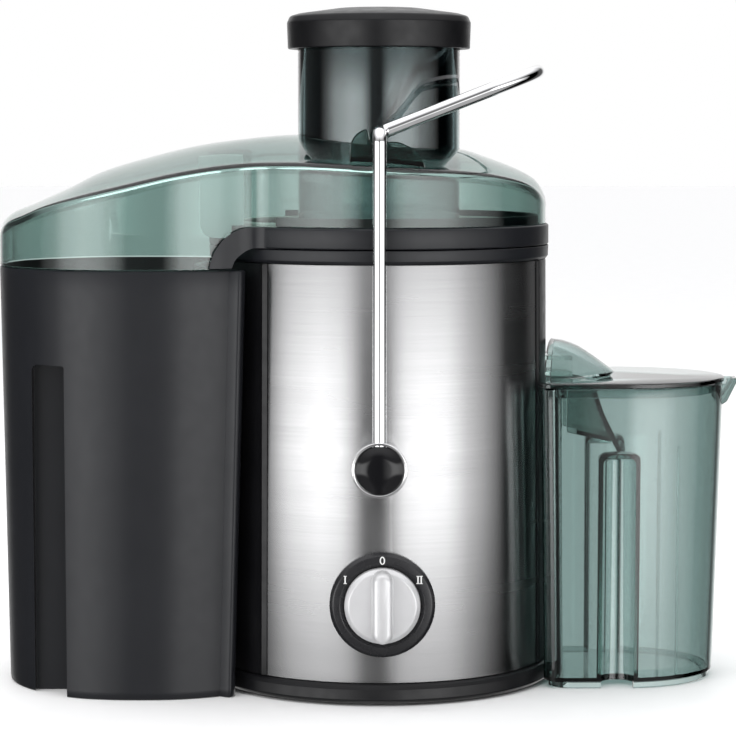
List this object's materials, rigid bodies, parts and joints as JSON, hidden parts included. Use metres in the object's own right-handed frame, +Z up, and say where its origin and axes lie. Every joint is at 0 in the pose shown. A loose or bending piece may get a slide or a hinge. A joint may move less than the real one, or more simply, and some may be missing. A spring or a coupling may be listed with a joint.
{
  "type": "centrifugal juicer",
  "caption": "Centrifugal juicer: brushed-steel motor base, tinted lid with wide feed chute, swing-over locking arm, pulp container and juice jug.",
  "frame": {"origin": "centre of the assembly's bounding box, on the surface that its feet stand on", "axes": "+X towards the juice jug, -Y towards the user (the dial side), +Z up; the motor axis is the line x = 4.85 mm, y = 1.1 mm"},
  "size_m": [0.3686, 0.1958, 0.3354],
  "materials": {
    "charcoal_plastic": "satin, moulded charcoal plastic",
    "black_plastic": "satin black plastic",
    "gloss_black": "polished black plastic",
    "smoked_clear": "clear grey-green tinted plastic, polished",
    "brushed_steel": "stainless sheet brushed around the base",
    "chrome": "polished chrome",
    "silver_satin": "satin silver plastic",
    "plain_steel": "plain machined steel",
    "sieve_steel": "perforated stainless sheet",
    "copper": "enamelled copper",
    "motor_iron": "stacked iron sheets",
    "rubber": "matte black rubber",
    "pale_plastic": "pale moulded plastic",
    "carbon": "pressed carbon"
  },
  "bodies": {
    "base": {"body_shell": "black_plastic", "steel_front": "brushed_steel", "steel_rear": "brushed_steel", "trim_right": "charcoal_plastic", "trim_left": "charcoal_plastic", "collar": "charcoal_plastic", "base_ring": "charcoal_plastic", "bottom_plate": "black_plastic", "motor_deck": "black_plastic", "cord_gland": "rubber", "foot_1": "rubber", "foot_2": "rubber", "foot_3": "rubber", "foot_4": "rubber", "bowl": "charcoal_plastic", "juice_spout": "smoked_clear", "shaft_seal": "rubber", "lid": "smoked_clear", "feed_chute": "smoked_clear", "pivot_pin_front": "plain_steel", "pivot_pin_rear": "plain_steel", "dial_bezel": "gloss_black", "rotary_switch": "black_plastic", "stator": "motor_iron", "field_coil_right": "copper", "field_coil_left": "copper", "brush_front": "carbon", "brush_rear": "carbon", "bracket_upper": "plain_steel", "bracket_lower": "plain_steel", "bearing_upper": "plain_steel", "bearing_lower": "plain_steel", "motor_bolt_right": "plain_steel", "motor_bolt_left": "plain_steel", "interlock_front": "black_plastic", "interlock_rear": "black_plastic", "capacitor": "pale_plastic", "terminal_block": "pale_plastic"},
    "pusher": {"pusher_body": "black_plastic", "pusher_cap": "charcoal_plastic"},
    "pulp_bin": {"pulp_container": "charcoal_plastic"},
    "jug": {"jug": "smoked_clear"},
    "jug_cover": {"jug_lid": "smoked_clear", "froth_separator": "smoked_clear"},
    "arm": {"locking_arm": "chrome", "pivot_cap_front": "gloss_black", "pivot_cap_rear": "gloss_black"},
    "dial": {"dial_knob": "silver_satin"},
    "rotor": {"motor_shaft": "plain_steel", "armature": "motor_iron", "winding_upper": "copper", "winding_lower": "copper", "commutator": "copper", "cooling_fan": "pale_plastic", "drive_coupling": "black_plastic", "basket_hub": "black_plastic", "filter_basket": "sieve_steel", "filter_rim": "pale_plastic", "grater_disc": "sieve_steel", "basket_nut": "plain_steel"}
  },
  "joints": [
    {"name": "arm_swing", "type": "hinge", "parent": "base", "child": "arm", "pos_m": [0.00485, 0.0011, 0.1143], "axis": [0, 1, 0], "range_deg": [0, 90]},
    {"name": "dial_turn", "type": "hinge", "parent": "base", "child": "dial", "pos_m": [0.00625, -0.0839, 0.0489], "axis": [0, 1, 0], "range_deg": [-55, 55]},
    {"name": "pusher_lift", "type": "slide", "parent": "base", "child": "pusher", "axis": [0, 0, 1], "range_m": [0, 0.11]},
    {"name": "jug_slide", "type": "slide", "parent": "base", "child": "jug", "axis": [1, 0, 0], "range_m": [0, 0.14]},
    {"name": "jug_cover_lift", "type": "slide", "parent": "jug", "child": "jug_cover", "axis": [0, 0, 1], "range_m": [0, 0.06]},
    {"name": "pulp_bin_slide", "type": "slide", "parent": "base", "child": "pulp_bin", "axis": [-1, 0, 0], "range_m": [0, 0.14]},
    {"name": "rotor_spin", "type": "hinge", "parent": "base", "child": "rotor", "pos_m": [0.00485, 0.0011, 0.1], "axis": [0, 0, 1], "continuous": true}
  ]
}
